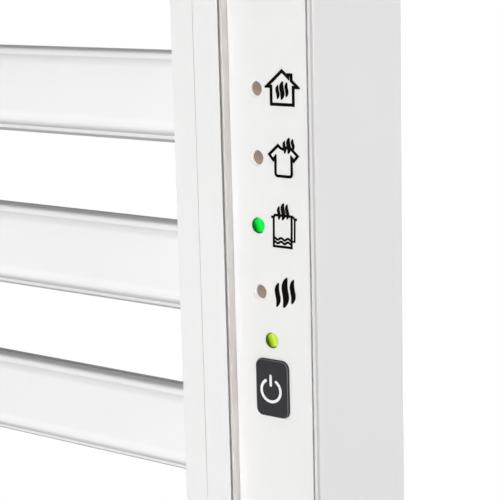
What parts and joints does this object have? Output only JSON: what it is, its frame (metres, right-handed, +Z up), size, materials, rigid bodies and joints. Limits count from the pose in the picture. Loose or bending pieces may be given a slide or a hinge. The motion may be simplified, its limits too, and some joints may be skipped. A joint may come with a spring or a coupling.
{
  "type": "electric towel warmer",
  "caption": "White wall-mounted ladder towel warmer with flattened oval bars between two columns and a recessed control strip with a power button and mode lights.",
  "frame": {"origin": "middle of the four wall fixings, on the wall face", "axes": "+Z up along the columns, +X along the bars towards the control column, +Y into the wall, so the front faces -Y"},
  "size_m": [0.5, 0.09, 0.824],
  "materials": {
    "bar_enamel": "gloss white enamel",
    "column_enamel": "satin white enamel",
    "strip_plastic": "satin white moulding",
    "cap_plastic": "satin white moulding",
    "button_plastic": "charcoal",
    "indicator_dark": "unlit light guide",
    "indicator_green": "lit green light guide",
    "indicator_lime": "lit yellow-green light guide",
    "bracket_enamel": "satin white enamel",
    "zinc_steel": "zinc plated",
    "brass": "turned",
    "gland_nylon": "white nylon",
    "circuit_board": "green solder mask",
    "black_plastic": "moulded",
    "transformer_iron": "varnished laminations",
    "pale_plastic": "moulded",
    "cutout_metal": "pressed",
    "heater_silicone": "silicone sleeve",
    "wiring_sleeve": "heat resistant sleeve"
  },
  "bodies": {
    "radiator": {"bar_01": "bar_enamel", "bar_02": "bar_enamel", "bar_03": "bar_enamel", "bar_04": "bar_enamel", "bar_05": "bar_enamel", "bar_06": "bar_enamel", "bar_07": "bar_enamel", "bar_08": "bar_enamel", "bar_09": "bar_enamel", "bar_10": "bar_enamel", "bar_11": "bar_enamel", "bar_12": "bar_enamel", "bar_rail_left": "column_enamel", "bar_rail_right": "column_enamel", "bar_screws": "zinc_steel", "blank_strip": "strip_plastic", "board_ribbon": "pale_plastic", "board_screws": "zinc_steel", "board_standoffs": "brass", "bracket_bolts": "zinc_steel", "bracket_sleeve_lower_left": "bracket_enamel", "bracket_sleeve_lower_right": "bracket_enamel", "bracket_sleeve_upper_left": "bracket_enamel", "bracket_sleeve_upper_right": "bracket_enamel", "cable_gland": "gland_nylon", "column_casing_left": "column_enamel", "column_casing_right": "column_enamel", "control_board": "circuit_board", "control_strip": "strip_plastic", "end_cap_lower_left": "cap_plastic", "end_cap_lower_right": "cap_plastic", "end_cap_upper_left": "cap_plastic", "end_cap_upper_right": "cap_plastic", "fixing_nuts": "zinc_steel", "gland_nut": "gland_nylon", "grub_screws": "zinc_steel", "heater_strips": "heater_silicone", "indicator_chips": "pale_plastic", "indicator_heat": "indicator_dark", "indicator_laundry": "indicator_dark", "indicator_power": "indicator_lime", "indicator_room": "indicator_dark", "indicator_towel": "indicator_green", "power_board": "circuit_board", "relay": "black_plastic", "room_sensor": "black_plastic", "switch_body": "black_plastic", "terminal_block": "pale_plastic", "thermal_cutout": "cutout_metal", "transformer": "transformer_iron", "wall_foot_lower_left": "zinc_steel", "wall_foot_lower_right": "zinc_steel", "wall_foot_upper_left": "zinc_steel", "wall_foot_upper_right": "zinc_steel", "wiring_harness": "wiring_sleeve"},
    "button": {"power_button": "button_plastic"},
    "plunger": {"switch_plunger": "pale_plastic"}
  },
  "joints": [
    {"name": "button_press", "type": "slide", "parent": "radiator", "child": "button", "axis": [0, 1, 0], "range_m": [0, 0.0004], "stiffness_N_per_m": 4000},
    {"name": "plunger_press", "type": "slide", "parent": "radiator", "child": "plunger", "axis": [0, 1, 0], "range_m": [0, 0.0004]}
  ],
  "couplings": [
    {"joint": "plunger_press", "follows": "button_press", "ratio": 1}
  ]
}
